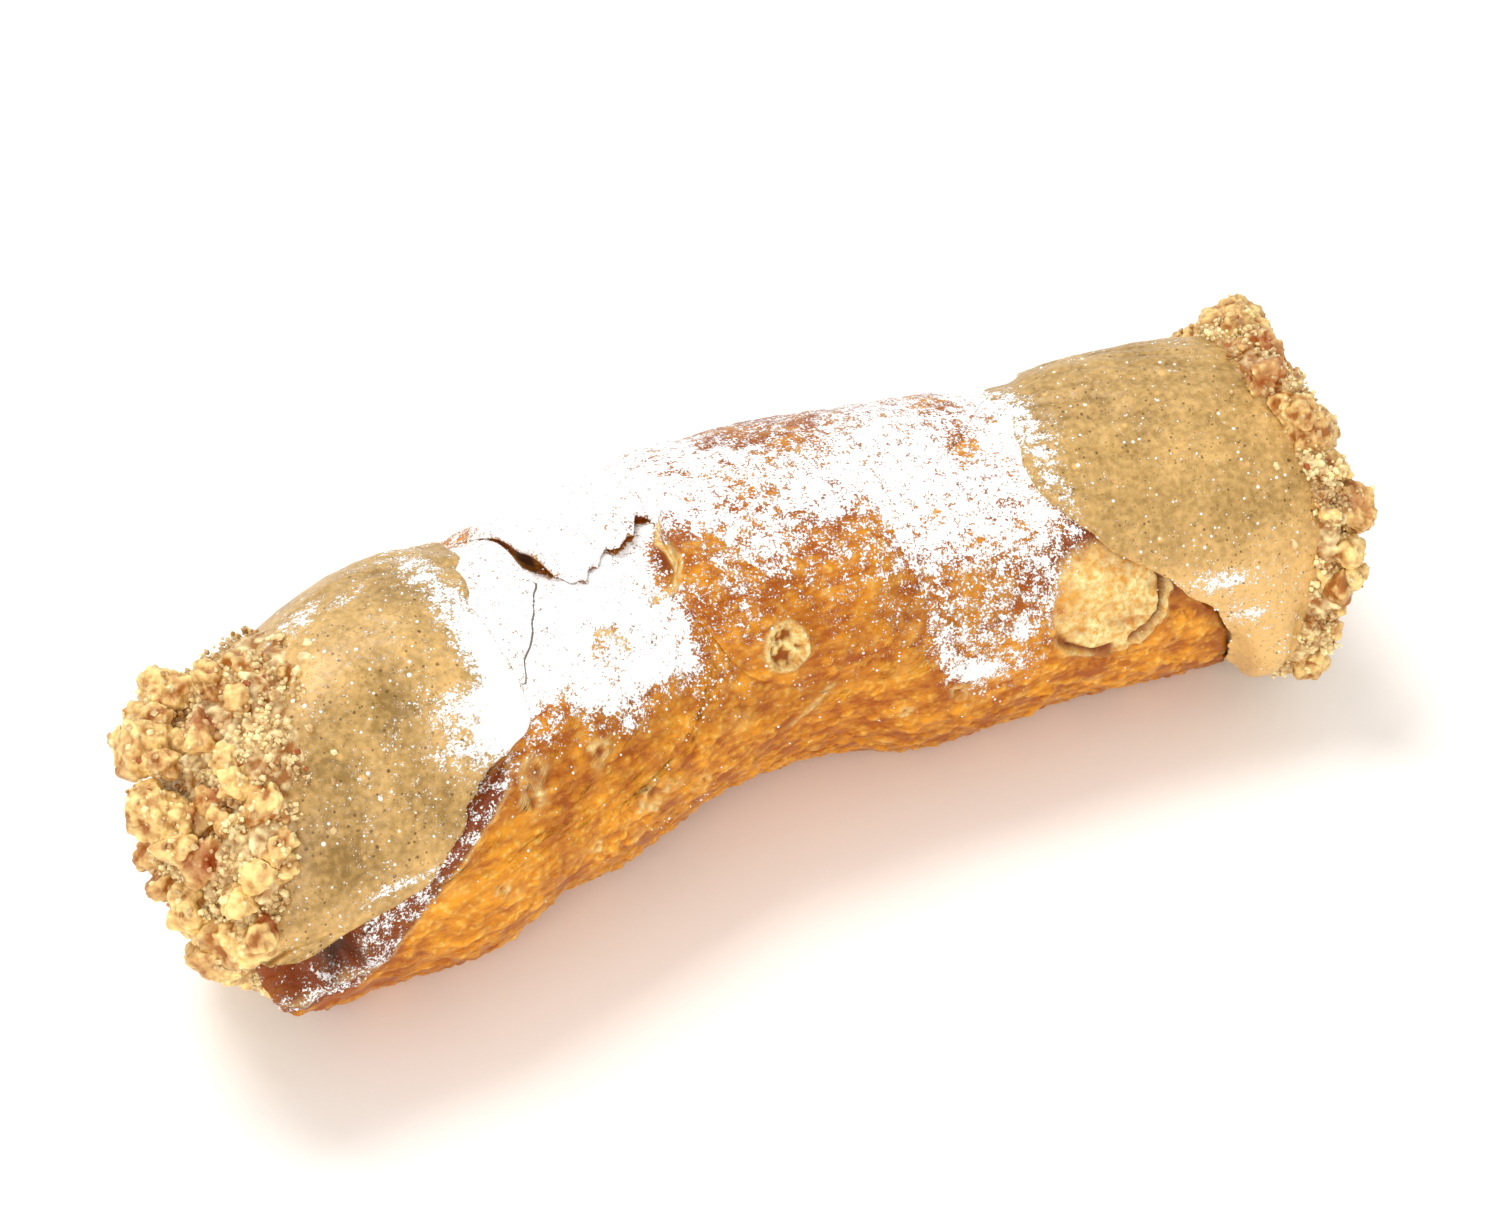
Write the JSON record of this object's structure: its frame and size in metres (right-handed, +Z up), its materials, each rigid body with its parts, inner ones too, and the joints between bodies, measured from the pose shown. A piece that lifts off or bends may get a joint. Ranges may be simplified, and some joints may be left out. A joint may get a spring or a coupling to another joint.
{
  "type": "cannoli",
  "caption": "Filled fried pastry tube lying on its side: a wrapped shell with a pointed flap, packed with cream, its open ends dipped in chopped nuts.",
  "frame": {"origin": "middle of the whole, on the surface it lies on", "axes": "+X along the tube towards its narrower right-hand end, -Y towards the front where the flap's pointed edge shows, +Z up"},
  "size_m": [0.1374, 0.0497, 0.0413],
  "materials": {
    "fried_pastry": "fried pastry, amber brown, fine blisters, dusted with icing sugar over the top",
    "nut_cream": "smooth beige nut cream with a soft gloss and fine dark specks",
    "chopped_nut": "chopped toasted nuts, golden chunks and pale crumb"
  },
  "bodies": {
    "root": {"pastry_shell": "fried_pastry", "cream_filling": "nut_cream", "chopped_nuts_left": "chopped_nut", "chopped_nuts_right": "chopped_nut"}
  },
  "joints": []
}
